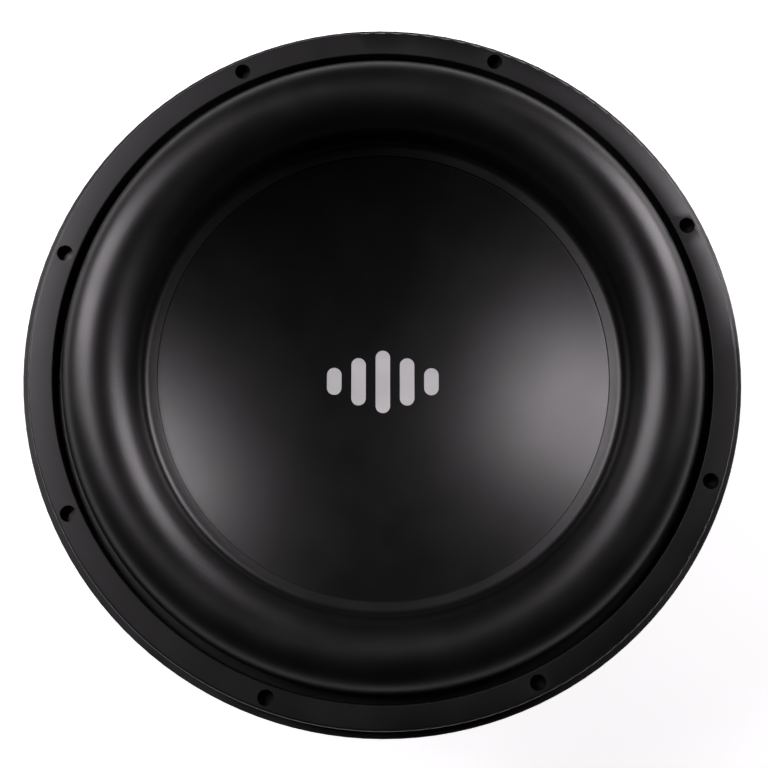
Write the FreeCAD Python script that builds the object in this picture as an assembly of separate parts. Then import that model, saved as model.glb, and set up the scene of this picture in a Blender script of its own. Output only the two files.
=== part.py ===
import FreeCAD, Part
import math
import os

from FreeCAD import Vector

# A 15-inch car subwoofer driver, built as the real one is stacked and glued.
# Millimetres. The origin is the centre of the bolt circle on the flange's back face,
# and +Z points along the driver's axis towards the listener.

# ---- clearances and joints ----
GLUE_GAP = 0.05           # bonded or pressed cylinders of one assembly
RUNNING_GAP = 0.30        # a plastic part that slides in another
SEAT_GAP = 0.20           # end play, and the space at a soldered end

# ---- mounting flange, gasket ring and bolt circle ----
FLANGE_R = 198.0
FLANGE_T = 5.0
LEDGE_W = 2.25            # flange inside the foot of the surround
SKIRT_WALL = 5.0
SKIRT_DEPTH = 24.0
BOLT_COUNT = 8
BOLT_EDGE = 11.4          # from the flange's edge to the bolt circle
FLANGE_ROUND = 1.0
FLANGE_HOLE_R = 3.0
GASKET_HOLE_R = 4.35
BOLT_PHASE = 22.5
GASKET_EDGE = 4.6         # flange that shows outside the gasket ring
GASKET_W = 13.65
GASKET_T = 7.5
GASKET_ROUND = 1.6

# ---- surround ----
ROLL_GAP = 4.9            # from the gasket ring's bore to the roll
ROLL_OUTER_W = 19.15      # from the outer leg in to the crest
ROLL_OUTER_RISE = 18.0    # from the top of the outer leg to the crest
ROLL_INNER_W = 21.65      # from the crest in to the inner leg: a quarter circle
ROLL_CREST = 17.0         # above the top of the gasket ring
ROLL_T = 2.6
LANDING_T = 1.2           # the outer lip, clamped under the gasket ring
LIP_T = 1.5               # the inner lip at its edge, bonded on the dish's rim
LIP_FOOT_T = 4.1          # the inner lip at the foot of the roll
LIP_W = 7.25
LIP_DROP = 18.0           # from the top of the gasket ring to the foot of the roll

# ---- dish and cone ----
DISH_DEPTH = 31.0
DISH_T = 1.5
RIM_EXTRA = 5.0           # how far the dish's flat rim runs under the inner lip
CONE_T = 1.5
RIM_STEP = 1.0            # from the inner lip's edge out to where the dish and the cone meet
NECK_SLEEVE = 3.0         # the short tube at the cone's neck
NECK_DROP = 54.9          # height of the cone between its rim and its neck

# ---- voice coil ----
FORMER_R = 38.1           # outside of the former
FORMER_WALL = 0.4
WINDING_T = 1.0           # each of the two windings
WINDING_H = 44.0
COLLAR_WALL = 1.5
COLLAR_TAIL = 4.0         # collar below the lower spider
FORMER_TAIL = 1.0         # bare former below the windings

# ---- spiders ----
SPIDER_DROP = 14.0        # from the cone's neck to the upper spider
SPIDER_STEP = 18.0        # between the two spiders
SPIDER_T = 0.8
SPIDER_R = 100.0
LANDING_W = 8.0
SPIDER_NECK_W = 6.0
SPIDER_WAVES = 6          # half waves
SPIDER_AMPLITUDE = 1.8

# ---- basket below the flange ----
SPOKE_COUNT = 8
SPOKE_W = 20.0
SPOKE_T = 8.0
SPOKE_FLARE = 2.0         # how far a spoke's outside starts below the skirt
SPOKE_BITE = 1.0          # how far a spoke and a pad run into the wall, to be cast in one with it
RIB_W = 6.0
RIB_H = 6.0
RIB_TAPER = 4.0           # how much deeper the rib's foot is than its top
LOWER_WALL = 6.5
SHELF_T = 5.6
WALL_ROUND = 2.0
WALL_ABOVE_SPIDER = 4.0
FLOOR_T = 8.0
FLOOR_LAND = 16.0         # from the screw circle in to the floor's central hole
TRAVEL_ROOM = 33.6        # from the lower spider down to the top plate
COOLING_SLOT_W = 30.0
COOLING_SLOT_EDGE = 3.8   # metal left above and below each slot

# ---- motor ----
PLATE_R = 88.0
PLATE_T = 12.0
PLATE_BREAK = 1.5         # rounded edge of the plates and magnets
COIL_GAP = 1.2            # winding to top plate
POLE_GAP = 0.8            # pole to the inside of the former
POLE_RISE = 4.0           # pole above the top plate
MAGNET_OVERHANG = 12.0    # magnet beyond the top plate
MAGNET_T = 23.0
YOKE_T = 12.0
YOKE_CHAMFER = 4.0
VENT_R = 17.0
VENT_MOUTH_R = 27.0
SHORTING_W = 7.9
SHORTING_T = 14.0
SHORTING_GAP = 1.9        # winding to shorting ring
SCREEN_R = 29.0
SCREEN_T = 1.0
SCREEN_HOLE_R = 1.5
SCREEN_PITCH = 4.6
BOOT_WALL = 4.0
BOOT_FLOOR = 3.0
BOOT_GRIP = 1.0           # boot's lip and inside wall to the edge of a plate
BOOT_MOUTH_R = 62.0
BOOT_LIP_T = 3.0
BOOT_GROOVES = 3
BOOT_GROOVE_W = 2.4
BOOT_GROOVE_DEPTH = 1.2

# ---- screws that hold the basket on the top plate ----
MOTOR_SCREWS = 8
MOTOR_SCREW_EDGE = 12.0   # from the top plate's edge to the screw circle
MOTOR_SCREW_R = 2.5
MOTOR_HEAD_R = 4.6
MOTOR_HEAD_H = 3.2
MOTOR_HOLE_EXTRA = 0.25

# ---- push terminals ----
TERMINAL_ANGLES = {"a": 90.0, "b": 270.0}
POLE_SIDES = {"plus": 1.0, "minus": -1.0}
PAD_STAND = 5.0           # how far the cast pad stands off the lower wall
TERMINAL_W = 52.0
TERMINAL_CORE_W = 36.0
TERMINAL_ROUND = 1.5
TERMINAL_H = 28.0
TERMINAL_DROP = 8.0       # from the upper spider's landing to the top of the block
BOARD_T = 1.6
EAR_T = 4.0
HOUSING_FRONT = 2.4
BUTTON_PITCH = 18.0
BUTTON_R = 3.9
BUTTON_COLLAR_R = 4.9
BUTTON_COLLAR_L = 6.4
BUTTON_ROUND = 1.0
BUTTON_STAND = 6.0
BUTTON_TRAVEL = 4.0
STRIP_W = 5.0
STRIP_T = 0.8
TAB_RISE = 7.0
WIRE_HOLE_R = 1.9
SPRING_WIRE_R = 0.3
SPRING_R = 3.6
SPRING_TURNS = 4
SPRING_FLATS = 8          # the wire's section is drawn with eight flats
SPRING_SHUT = 3.4         # room for the strip and the closed spring
TERMINAL_SCREW_R = 1.4
TERMINAL_SCREW_L = 12.0
TERMINAL_HEAD_R = 2.8
TERMINAL_HEAD_H = 2.0

# ---- tinsel leads ----
LEAD_R = 1.2
EYELET_R = 1.6
EYELET_L = 7.4
EYELET_GAP = 0.5          # end of the lead to the pin
EYELET_DROP = 6.0         # from the cone's neck to the eyelets
LEAD_RISE = 11.0          # straight run up the solder tab
LEAD_BEND = 0.45          # share of the shorter run that an arc takes

# ---- radii and heights that follow from the values above ----
BOLT_CIRCLE_R = FLANGE_R - BOLT_EDGE
GASKET_OUTER_R = FLANGE_R - GASKET_EDGE
GASKET_INNER_R = GASKET_OUTER_R - GASKET_W
ROLL_OUTER_R = GASKET_INNER_R - ROLL_GAP
CREST_R = ROLL_OUTER_R - ROLL_OUTER_W
ROLL_INNER_R = CREST_R - ROLL_INNER_W
LIP_INNER_R = ROLL_INNER_R - LIP_W
OPENING_R = ROLL_OUTER_R - ROLL_T - LEDGE_W
LANDING_TOP = FLANGE_T + LANDING_T
GASKET_TOP = LANDING_TOP + GASKET_T
CREST_Z = GASKET_TOP + ROLL_CREST
LIP_TOP = GASKET_TOP - LIP_DROP
RIM_TOP = LIP_TOP - LIP_FOOT_T
CONE_TOP = RIM_TOP - DISH_T
RIM_R = LIP_INNER_R + RIM_EXTRA
NECK_Z = CONE_TOP - NECK_DROP
UPPER_SPIDER_Z = NECK_Z - SPIDER_DROP
LOWER_SPIDER_Z = UPPER_SPIDER_Z - SPIDER_STEP
PLATE_TOP = LOWER_SPIDER_Z - TRAVEL_ROOM
PLATE_BOTTOM = PLATE_TOP - PLATE_T
MAGNET_BOTTOM = PLATE_BOTTOM - 2 * MAGNET_T
YOKE_BOTTOM = MAGNET_BOTTOM - YOKE_T
BASE_Z = YOKE_BOTTOM - BOOT_FLOOR
WALL_TOP = UPPER_SPIDER_Z + WALL_ABOVE_SPIDER
WALL_IN_R = SPIDER_R + SEAT_GAP
WALL_OUT_R = WALL_IN_R + LOWER_WALL
COLLAR_R = FORMER_R + COLLAR_WALL
COLLAR_H = SPIDER_DROP + SPIDER_STEP + COLLAR_TAIL
WINDING_R = FORMER_R + 2 * WINDING_T
SHORTING_R = WINDING_R + SHORTING_GAP
MAGNET_BORE_R = SHORTING_R + SHORTING_W + 2 * GLUE_GAP
MAGNET_R = PLATE_R + MAGNET_OVERHANG
MOTOR_SCREW_CIRCLE_R = PLATE_R - MOTOR_SCREW_EDGE
FLOOR_HOLE_R = MOTOR_SCREW_CIRCLE_R - FLOOR_LAND
WINDING_TOP = PLATE_TOP - PLATE_T / 2 + WINDING_H / 2
WINDING_BOTTOM = WINDING_TOP - WINDING_H
PLATE_HOLE_R = WINDING_R + COIL_GAP
POLE_R = FORMER_R - FORMER_WALL - POLE_GAP
PAD_FACE = WALL_OUT_R + PAD_STAND
TERMINAL_TOP = UPPER_SPIDER_Z - TERMINAL_DROP
TERMINAL_MID = TERMINAL_TOP - TERMINAL_H / 2
BOARD_FACE = PAD_FACE + BOARD_T
HOUSING_DEPTH = HOUSING_FRONT + SEAT_GAP + BUTTON_COLLAR_L + BUTTON_TRAVEL + SPRING_SHUT
HOUSING_FACE = BOARD_FACE + HOUSING_DEPTH


def point(r, z):
    return Vector(r, 0, z)


def profile(corners):
    """A closed face in the XZ plane. A corner is (r, z) or (r, z, rounding radius)."""
    edges = []
    count = len(corners)
    starts, ends, middles = [], [], []
    for i, corner in enumerate(corners):
        here = point(corner[0], corner[1])
        rounding = corner[2] if len(corner) > 2 else 0
        to_last = (point(*corners[i - 1][:2]) - here).normalize()
        to_next = (point(*corners[(i + 1) % count][:2]) - here).normalize()
        half = to_last.getAngle(to_next) / 2
        back = rounding / math.tan(half) if rounding else 0
        starts.append(here + to_last * back)
        ends.append(here + to_next * back)
        inward = (to_last + to_next).normalize() if rounding else Vector(0, 0, 0)
        middles.append(here + inward * (rounding / math.sin(half) - rounding if rounding else 0))
    for i in range(count):
        if (ends[i] - starts[i]).Length > 1e-6:
            edges.append(Part.Arc(starts[i], middles[i], ends[i]).toShape())
        following = starts[(i + 1) % count]
        if (following - ends[i]).Length > 1e-6:
            edges.append(Part.LineSegment(ends[i], following).toShape())
    return Part.Face(Part.Wire(edges))


def spin(face):
    return face.revolve(Vector(0, 0, 0), Vector(0, 0, 1), 360)


def ring(inner, outer, bottom, top):
    return spin(profile([(inner, bottom), (outer, bottom), (outer, top), (inner, top)]))


def rod(radius, start, direction, length):
    return Part.makeCylinder(radius, length, start, direction)


def box(low, high):
    size = high - low
    return Part.makeBox(size.x, size.y, size.z, low)


def turned(shape, degrees):
    copy = shape.copy()
    copy.rotate(Vector(0, 0, 0), Vector(0, 0, 1), degrees)
    return copy


def spaced(shape, count, phase):
    return [turned(shape, phase + 360.0 * i / count) for i in range(count)]


def quarter_arch(centre, across, up):
    """A quarter circle or ellipse, from above its centre down to the side that across points to."""
    side, top = centre + Vector(across, 0, 0), centre + Vector(0, 0, up)
    if abs(up - abs(across)) < 1e-6:
        return Part.Arc(side, centre + Vector(across, 0, up) * math.sqrt(0.5), top).toShape()
    longer, shorter = (top, side) if up > abs(across) else (side, top)
    return Part.Edge(Part.ArcOfEllipse(Part.Ellipse(longer, shorter, centre), 0, math.pi / 2))


def line(a, b):
    return Part.LineSegment(a, b).toShape()


# ---- basket ----


def bolt_holes(radius, bottom, top):
    hole = rod(radius, Vector(BOLT_CIRCLE_R, 0, bottom), Vector(0, 0, 1), top - bottom)
    return spaced(hole, BOLT_COUNT, BOLT_PHASE)


def upright(face, width):
    """A face in the XZ plane made into a solid, with its width centred on y = 0."""
    solid = face.extrude(Vector(0, width, 0))
    solid.translate(Vector(0, -width / 2, 0))
    return solid


def basket_spoke():
    """One cast spoke, from the skirt down to the lower wall, with a rib along its outside."""
    skirt_r = OPENING_R + SKIRT_WALL
    skirt_mid, skirt_low = -SKIRT_DEPTH / 2, -SKIRT_DEPTH - SPOKE_FLARE
    low_z = LOWER_SPIDER_Z - SPIDER_T
    bite_r = WALL_IN_R + SPOKE_BITE
    web = profile([
        (OPENING_R, skirt_mid), (skirt_r, skirt_mid), (skirt_r, skirt_low),
        (WALL_OUT_R, low_z), (bite_r, low_z), (bite_r, low_z + SPOKE_T + RIB_TAPER),
        (OPENING_R, -SKIRT_DEPTH + SPOKE_T / 2),
    ])
    rib_r, foot_r = skirt_r - SPOKE_BITE, WALL_OUT_R - SPOKE_BITE
    rib = profile([
        (OPENING_R, skirt_mid), (rib_r, skirt_mid), (rib_r, skirt_low - RIB_H),
        (WALL_OUT_R + RIB_H / 2, low_z - RIB_H), (foot_r, low_z - RIB_H - RIB_TAPER),
        (foot_r, low_z + RIB_TAPER),
    ])
    return upright(web, SPOKE_W).fuse(upright(rib, RIB_W))


def terminal_pad():
    """A cast pad on the lower wall. It starts inside the wall, and the throat's cut trims it."""
    return box(Vector(WALL_IN_R - TERMINAL_W / 4, -TERMINAL_W / 2, TERMINAL_TOP - TERMINAL_H),
               Vector(PAD_FACE, TERMINAL_W / 2, TERMINAL_TOP))


def terminal_screw_places():
    reach = (TERMINAL_W + TERMINAL_CORE_W) / 4
    return [Vector(0, side * reach, TERMINAL_MID) for side in (-1, 1)]


def basket():
    skirt_r = OPENING_R + SKIRT_WALL
    shelf_top = LOWER_SPIDER_Z - SPIDER_T / 2
    flange = spin(profile([
        (OPENING_R, -SKIRT_DEPTH), (skirt_r, -SKIRT_DEPTH), (skirt_r, 0), (FLANGE_R, 0, FLANGE_ROUND / 2),
        (FLANGE_R, FLANGE_T, FLANGE_ROUND), (OPENING_R, FLANGE_T, FLANGE_ROUND / 2),
    ]))
    lower = spin(profile([
        (FLOOR_HOLE_R, PLATE_TOP), (WALL_OUT_R, PLATE_TOP, WALL_ROUND),
        (WALL_OUT_R, WALL_TOP, WALL_ROUND / 2),
        (WALL_IN_R, WALL_TOP), (WALL_IN_R, shelf_top), (SPIDER_R - LANDING_W, shelf_top),
        (SPIDER_R - LANDING_W, shelf_top - SHELF_T), (WALL_IN_R, shelf_top - SHELF_T),
        (WALL_IN_R, PLATE_TOP + FLOOR_T), (FLOOR_HOLE_R, PLATE_TOP + FLOOR_T, WALL_ROUND / 2),
    ]))
    throat = rod(WALL_IN_R, Vector(0, 0, PLATE_TOP + FLOOR_T), Vector(0, 0, 1), -PLATE_TOP)
    spokes = spaced(basket_spoke(), SPOKE_COUNT, BOLT_PHASE)
    pads = [turned(terminal_pad(), angle).cut(throat) for angle in TERMINAL_ANGLES.values()]
    body = flange.fuse([lower] + spokes + pads)
    slot = box(Vector(WALL_IN_R - 2, -COOLING_SLOT_W / 2, PLATE_TOP + FLOOR_T + COOLING_SLOT_EDGE),
               Vector(WALL_OUT_R + 2, COOLING_SLOT_W / 2, shelf_top - SHELF_T - COOLING_SLOT_EDGE))
    under_pads = (SPOKE_COUNT // 4, 3 * SPOKE_COUNT // 4)
    slots = [s for i, s in enumerate(spaced(slot, SPOKE_COUNT, 0)) if i not in under_pads]
    screw = rod(MOTOR_SCREW_R + MOTOR_HOLE_EXTRA, Vector(MOTOR_SCREW_CIRCLE_R, 0, PLATE_TOP - 1),
                Vector(0, 0, 1), FLOOR_T + 2)
    pilots = []
    for angle in TERMINAL_ANGLES.values():
        for place in terminal_screw_places():
            depth = TERMINAL_SCREW_L - EAR_T - BOARD_T + 1
            pilot = rod(TERMINAL_SCREW_R + GLUE_GAP, Vector(PAD_FACE - depth, place.y, place.z),
                        Vector(1, 0, 0), depth + 1)
            pilots.append(turned(pilot, angle))
    cuts = slots + bolt_holes(FLANGE_HOLE_R, -1, FLANGE_T + 1) + spaced(screw, MOTOR_SCREWS, 0) + pilots
    return body.cut(cuts).removeSplitter()


def basket_screws():
    up = Vector(0, 0, 1)
    floor = Vector(MOTOR_SCREW_CIRCLE_R, 0, PLATE_TOP + FLOOR_T)
    shank_l = FLOOR_T + PLATE_T - 2
    shank = rod(MOTOR_SCREW_R - GLUE_GAP, floor - up * shank_l, up, shank_l)
    head = rod(MOTOR_HEAD_R, floor, up, MOTOR_HEAD_H)
    socket = rod(MOTOR_HEAD_R / 3, floor + up * (MOTOR_HEAD_H / 2), up, MOTOR_HEAD_H)
    return Part.makeCompound(spaced(shank.fuse(head).cut(socket), MOTOR_SCREWS, 0))


# ---- front: gasket ring, surround, dish and cone ----


def gasket_ring():
    body = spin(profile([
        (GASKET_INNER_R, LANDING_TOP), (GASKET_OUTER_R, LANDING_TOP),
        (GASKET_OUTER_R, GASKET_TOP, GASKET_ROUND),
        (GASKET_INNER_R, GASKET_TOP, GASKET_ROUND / 2),
    ]))
    return body.cut(bolt_holes(GASKET_HOLE_R, LANDING_TOP - 1, GASKET_TOP + 1))


def surround():
    """A high roll: a leg on each side and an arch between them. Its inner lip is on the dish,
    and its outer lip is under the gasket ring."""
    inner_top, outer_top = CREST_Z - ROLL_INNER_W, CREST_Z - ROLL_OUTER_RISE
    inner_back, outer_back = ROLL_INNER_R + ROLL_T, ROLL_OUTER_R - ROLL_T
    lip_edge_z = RIM_TOP + LIP_T
    landing_r = GASKET_OUTER_R - GASKET_ROUND
    inner_c, outer_c = point(CREST_R, inner_top), point(CREST_R, outer_top)
    edges = [
        quarter_arch(inner_c, -ROLL_INNER_W, ROLL_INNER_W),
        line(point(ROLL_INNER_R, inner_top), point(ROLL_INNER_R, LIP_TOP)),
        line(point(ROLL_INNER_R, LIP_TOP), point(LIP_INNER_R, lip_edge_z)),
        line(point(LIP_INNER_R, lip_edge_z), point(LIP_INNER_R, RIM_TOP)),
        line(point(LIP_INNER_R, RIM_TOP), point(inner_back, RIM_TOP)),
        line(point(inner_back, RIM_TOP), point(inner_back, inner_top)),
        quarter_arch(inner_c, ROLL_T - ROLL_INNER_W, ROLL_INNER_W - ROLL_T),
        quarter_arch(outer_c, ROLL_OUTER_W - ROLL_T, ROLL_OUTER_RISE - ROLL_T),
        line(point(outer_back, outer_top), point(outer_back, FLANGE_T)),
        line(point(outer_back, FLANGE_T), point(landing_r, FLANGE_T)),
        line(point(landing_r, FLANGE_T), point(landing_r, LANDING_TOP)),
        line(point(landing_r, LANDING_TOP), point(ROLL_OUTER_R, LANDING_TOP)),
        line(point(ROLL_OUTER_R, LANDING_TOP), point(ROLL_OUTER_R, outer_top)),
        quarter_arch(outer_c, ROLL_OUTER_W, ROLL_OUTER_RISE),
    ]
    body = spin(Part.Face(Part.Wire(Part.__sortEdges__(edges))))
    return body.cut(bolt_holes(GASKET_HOLE_R, FLANGE_T - 1, LANDING_TOP + 1))


def dish():
    """A shallow bowl, part of a sphere, with a flat rim that the surround is bonded on."""
    edge_r = LIP_INNER_R - GLUE_GAP
    sphere_r = (edge_r ** 2 + DISH_DEPTH ** 2) / (2 * DISH_DEPTH)
    half_depth = sphere_r - math.sqrt(sphere_r ** 2 - edge_r ** 2 / 4)
    low = RIM_TOP - DISH_DEPTH
    top_arc = Part.Arc(point(0, low), point(edge_r / 2, low + half_depth), point(edge_r, RIM_TOP)).toShape()
    under_r = edge_r + RIM_STEP
    under = Part.Arc(point(0, low - DISH_T), point(edge_r / 2, low + half_depth - DISH_T),
                     point(under_r, CONE_TOP)).toShape()
    face = Part.Face(Part.Wire([
        top_arc, line(point(edge_r, RIM_TOP), point(RIM_R, RIM_TOP)),
        line(point(RIM_R, RIM_TOP), point(RIM_R, CONE_TOP)),
        line(point(RIM_R, CONE_TOP), point(under_r, CONE_TOP)),
        under, line(point(0, low - DISH_T), point(0, low)),
    ]))
    return spin(face)


def cone_body():
    """The straight-sided cone under the dish, from a flat rim down to the voice coil's collar."""
    slant_r = LIP_INNER_R + RIM_STEP
    inner = COLLAR_R + GLUE_GAP
    return spin(profile([
        (slant_r, CONE_TOP), (RIM_R, CONE_TOP), (RIM_R, CONE_TOP - CONE_T),
        (slant_r + CONE_T, CONE_TOP - CONE_T),
        (inner + CONE_T, NECK_Z), (inner + CONE_T, NECK_Z - NECK_SLEEVE), (inner, NECK_Z - NECK_SLEEVE),
        (inner, NECK_Z + CONE_T),
    ]))


# ---- voice coil assembly ----


def coil_former():
    return ring(FORMER_R - FORMER_WALL, FORMER_R, WINDING_BOTTOM - FORMER_TAIL, NECK_Z)


def voice_coil(layer):
    inner = FORMER_R + layer * WINDING_T + GLUE_GAP
    return ring(inner, inner + WINDING_T - GLUE_GAP, WINDING_BOTTOM, WINDING_TOP)


def coil_collar():
    return ring(FORMER_R + GLUE_GAP, COLLAR_R, NECK_Z - COLLAR_H, NECK_Z)


def lead_eyelets():
    """Four soldered pins on the collar, in line with the four solder tabs."""
    collar_space = rod(COLLAR_R + GLUE_GAP, Vector(0, 0, NECK_Z - COLLAR_H), Vector(0, 0, 1), COLLAR_H)
    pins = []
    for angle in TERMINAL_ANGLES.values():
        for side in POLE_SIDES.values():
            across = side * BUTTON_PITCH / 2
            start = math.sqrt(COLLAR_R ** 2 - across ** 2) - COLLAR_WALL / 2
            pin = rod(EYELET_R, Vector(start, across, NECK_Z - EYELET_DROP), Vector(1, 0, 0), EYELET_L)
            pins.append(turned(pin.cut(collar_space), angle))
    return Part.makeCompound(pins)


# ---- suspension ----


def spider(middle):
    """A corrugated cloth disc: flat landing outside, a row of half waves, flat neck inside."""
    neck_r = COLLAR_R + 2 * GLUE_GAP
    first, last = COLLAR_R + SPIDER_NECK_W, SPIDER_R - LANDING_W
    step = (last - first) / SPIDER_WAVES

    def waves(z):
        arcs = []
        for i in range(SPIDER_WAVES):
            start = first + i * step
            crest = SPIDER_AMPLITUDE if i % 2 == 0 else -SPIDER_AMPLITUDE
            arc = Part.Arc(point(start, z), point(start + step / 2, z + crest), point(start + step, z))
            arcs.append(arc.toShape())
        return arcs

    low, high = middle - SPIDER_T / 2, middle + SPIDER_T / 2
    edges = [line(point(neck_r, low), point(first, low))] + waves(low) + [
        line(point(last, low), point(SPIDER_R, low)), line(point(SPIDER_R, low), point(SPIDER_R, high)),
        line(point(SPIDER_R, high), point(last, high)),
    ] + waves(high) + [
        line(point(first, high), point(neck_r, high)), line(point(neck_r, high), point(neck_r, low)),
    ]
    return spin(Part.Face(Part.Wire(Part.__sortEdges__(edges))))


def spider_spacer():
    return ring(SPIDER_R - LANDING_W, SPIDER_R, LOWER_SPIDER_Z + SPIDER_T / 2, UPPER_SPIDER_Z - SPIDER_T / 2)


# ---- motor ----


def top_plate():
    plate = spin(profile([
        (PLATE_HOLE_R, PLATE_BOTTOM), (PLATE_R, PLATE_BOTTOM, PLATE_BREAK / 2),
        (PLATE_R, PLATE_TOP, PLATE_BREAK),
        (PLATE_HOLE_R, PLATE_TOP),
    ]))
    bottom = Vector(MOTOR_SCREW_CIRCLE_R, 0, PLATE_BOTTOM - 1)
    tapped = rod(MOTOR_SCREW_R, bottom, Vector(0, 0, 1), PLATE_T + 2)
    return plate.cut(spaced(tapped, MOTOR_SCREWS, 0))


def magnet(top):
    return spin(profile([
        (MAGNET_BORE_R, top - MAGNET_T), (MAGNET_R, top - MAGNET_T, PLATE_BREAK),
        (MAGNET_R, top, PLATE_BREAK), (MAGNET_BORE_R, top),
    ]))


def yoke():
    """The back plate and the pole in one forging, with a vent down its middle."""
    screen_seat = YOKE_BOTTOM + 2 * SCREEN_T
    return spin(profile([
        (VENT_R, MAGNET_BOTTOM), (VENT_R, PLATE_TOP + POLE_RISE, 2 * PLATE_BREAK),
        (POLE_R, PLATE_TOP + POLE_RISE, PLATE_BREAK),
        (POLE_R, MAGNET_BOTTOM), (PLATE_R, MAGNET_BOTTOM), (PLATE_R, YOKE_BOTTOM + YOKE_T / 3),
        (PLATE_R - YOKE_CHAMFER, YOKE_BOTTOM), (SCREEN_R + GLUE_GAP, YOKE_BOTTOM),
        (SCREEN_R + GLUE_GAP, screen_seat),
        (VENT_MOUTH_R, screen_seat),
    ]))


def shorting_ring():
    return ring(SHORTING_R, SHORTING_R + SHORTING_W, MAGNET_BOTTOM, MAGNET_BOTTOM + SHORTING_T)


def rear_vent_screen():
    """A punched steel disc in a recess of the back plate."""
    bottom = YOKE_BOTTOM + SCREEN_T
    disc = rod(SCREEN_R, Vector(0, 0, bottom), Vector(0, 0, 1), SCREEN_T)
    rows = int(SCREEN_R / SCREEN_PITCH)
    holes = []
    for row in range(-rows, rows + 1):
        for column in range(-rows - 1, rows + 2):
            x = (column + (row % 2) / 2) * SCREEN_PITCH
            y = row * SCREEN_PITCH * math.sqrt(3) / 2
            if math.hypot(x, y) < VENT_MOUTH_R - SCREEN_HOLE_R - 2:
                holes.append(rod(SCREEN_HOLE_R, Vector(x, y, bottom - 1), Vector(0, 0, 1), SCREEN_T + 2))
    return disc.cut(holes)


def magnet_boot():
    """A moulded rubber cover over both magnets and the edge of the back plate."""
    inside = MAGNET_R + SEAT_GAP
    outer = inside + BOOT_WALL
    lip_bottom = PLATE_BOTTOM + SEAT_GAP
    lip_top = lip_bottom + BOOT_LIP_T
    lip_r, foot_r = PLATE_R + BOOT_GRIP, PLATE_R + RUNNING_GAP
    shelf, seat = MAGNET_BOTTOM - SEAT_GAP, YOKE_BOTTOM - SEAT_GAP
    body = spin(profile([
        (lip_r, lip_bottom), (lip_r, lip_top, BOOT_LIP_T / 3), (outer, lip_top, BOOT_LIP_T),
        (outer, BASE_Z, BOOT_FLOOR - SEAT_GAP), (BOOT_MOUTH_R, BASE_Z, BOOT_FLOOR / 3), (BOOT_MOUTH_R, seat),
        (foot_r, seat), (foot_r, shelf), (inside, shelf), (inside, lip_bottom),
    ]))
    for i in range(BOOT_GROOVES):
        z = BASE_Z + (lip_top - BASE_Z) * (i + 1) / (BOOT_GROOVES + 1)
        groove = ring(outer - BOOT_GROOVE_DEPTH, outer + 1, z - BOOT_GROOVE_W / 2, z + BOOT_GROOVE_W / 2)
        body = body.cut(groove)
    return body


# ---- push terminals: built along +X, then turned to their place ----


def terminal_screw_holes(start, length):
    """Clearance holes for the two screws, through a plate that starts at this distance out."""
    radius = TERMINAL_SCREW_R + 2 * GLUE_GAP
    return [rod(radius, place + Vector(start - 1, 0, 0), Vector(1, 0, 0), length + 2)
            for place in terminal_screw_places()]


def terminal_board():
    board = box(Vector(PAD_FACE, -TERMINAL_W / 2, TERMINAL_TOP - TERMINAL_H),
                Vector(BOARD_FACE, TERMINAL_W / 2, TERMINAL_TOP))
    return board.cut(terminal_screw_holes(PAD_FACE, BOARD_T))


def terminal_strips():
    """Two brass strips: the spring sits on the lower end and the lead is soldered on the upper."""
    strips = []
    for side in POLE_SIDES.values():
        y = side * BUTTON_PITCH / 2
        strips.append(box(Vector(BOARD_FACE, y - STRIP_W / 2, TERMINAL_MID - BUTTON_COLLAR_R),
                          Vector(BOARD_FACE + STRIP_T, y + STRIP_W / 2, TERMINAL_TOP + TAB_RISE)))
    return Part.makeCompound(strips)


def wire_hole_x():
    return HOUSING_FACE - HOUSING_FRONT - SEAT_GAP - BUTTON_COLLAR_L / 2 - BUTTON_TRAVEL


def terminal_housing():
    bottom = TERMINAL_TOP - TERMINAL_H
    core = box(Vector(BOARD_FACE, -TERMINAL_CORE_W / 2, bottom),
               Vector(HOUSING_FACE, TERMINAL_CORE_W / 2, TERMINAL_TOP))
    front_edges = [e for e in core.Edges if e.BoundBox.XMin > HOUSING_FACE - 1e-6]
    ears = box(Vector(BOARD_FACE, -TERMINAL_W / 2, bottom),
               Vector(BOARD_FACE + EAR_T, TERMINAL_W / 2, TERMINAL_TOP))
    body = core.makeFillet(TERMINAL_ROUND, front_edges).fuse(ears)
    cuts = terminal_screw_holes(BOARD_FACE, EAR_T)
    out, up = Vector(1, 0, 0), Vector(0, 0, 1)
    strip_half = STRIP_W / 2 + RUNNING_GAP
    for side in POLE_SIDES.values():
        y = side * BUTTON_PITCH / 2
        at = Vector(BOARD_FACE, y, TERMINAL_MID)
        cuts.append(rod(BUTTON_COLLAR_R + RUNNING_GAP, at, out, HOUSING_DEPTH - HOUSING_FRONT))
        cuts.append(rod(BUTTON_R + RUNNING_GAP, at, out, HOUSING_DEPTH + 1))
        cuts.append(box(Vector(BOARD_FACE - 1, y - strip_half, TERMINAL_MID - BUTTON_COLLAR_R - SEAT_GAP),
                        Vector(BOARD_FACE + STRIP_T + SEAT_GAP, y + strip_half, TERMINAL_TOP + 1)))
        cuts.append(rod(WIRE_HOLE_R, Vector(wire_hole_x(), y, bottom - 1), up, TERMINAL_H / 2 + 1))
    return body.cut(cuts)


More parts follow.
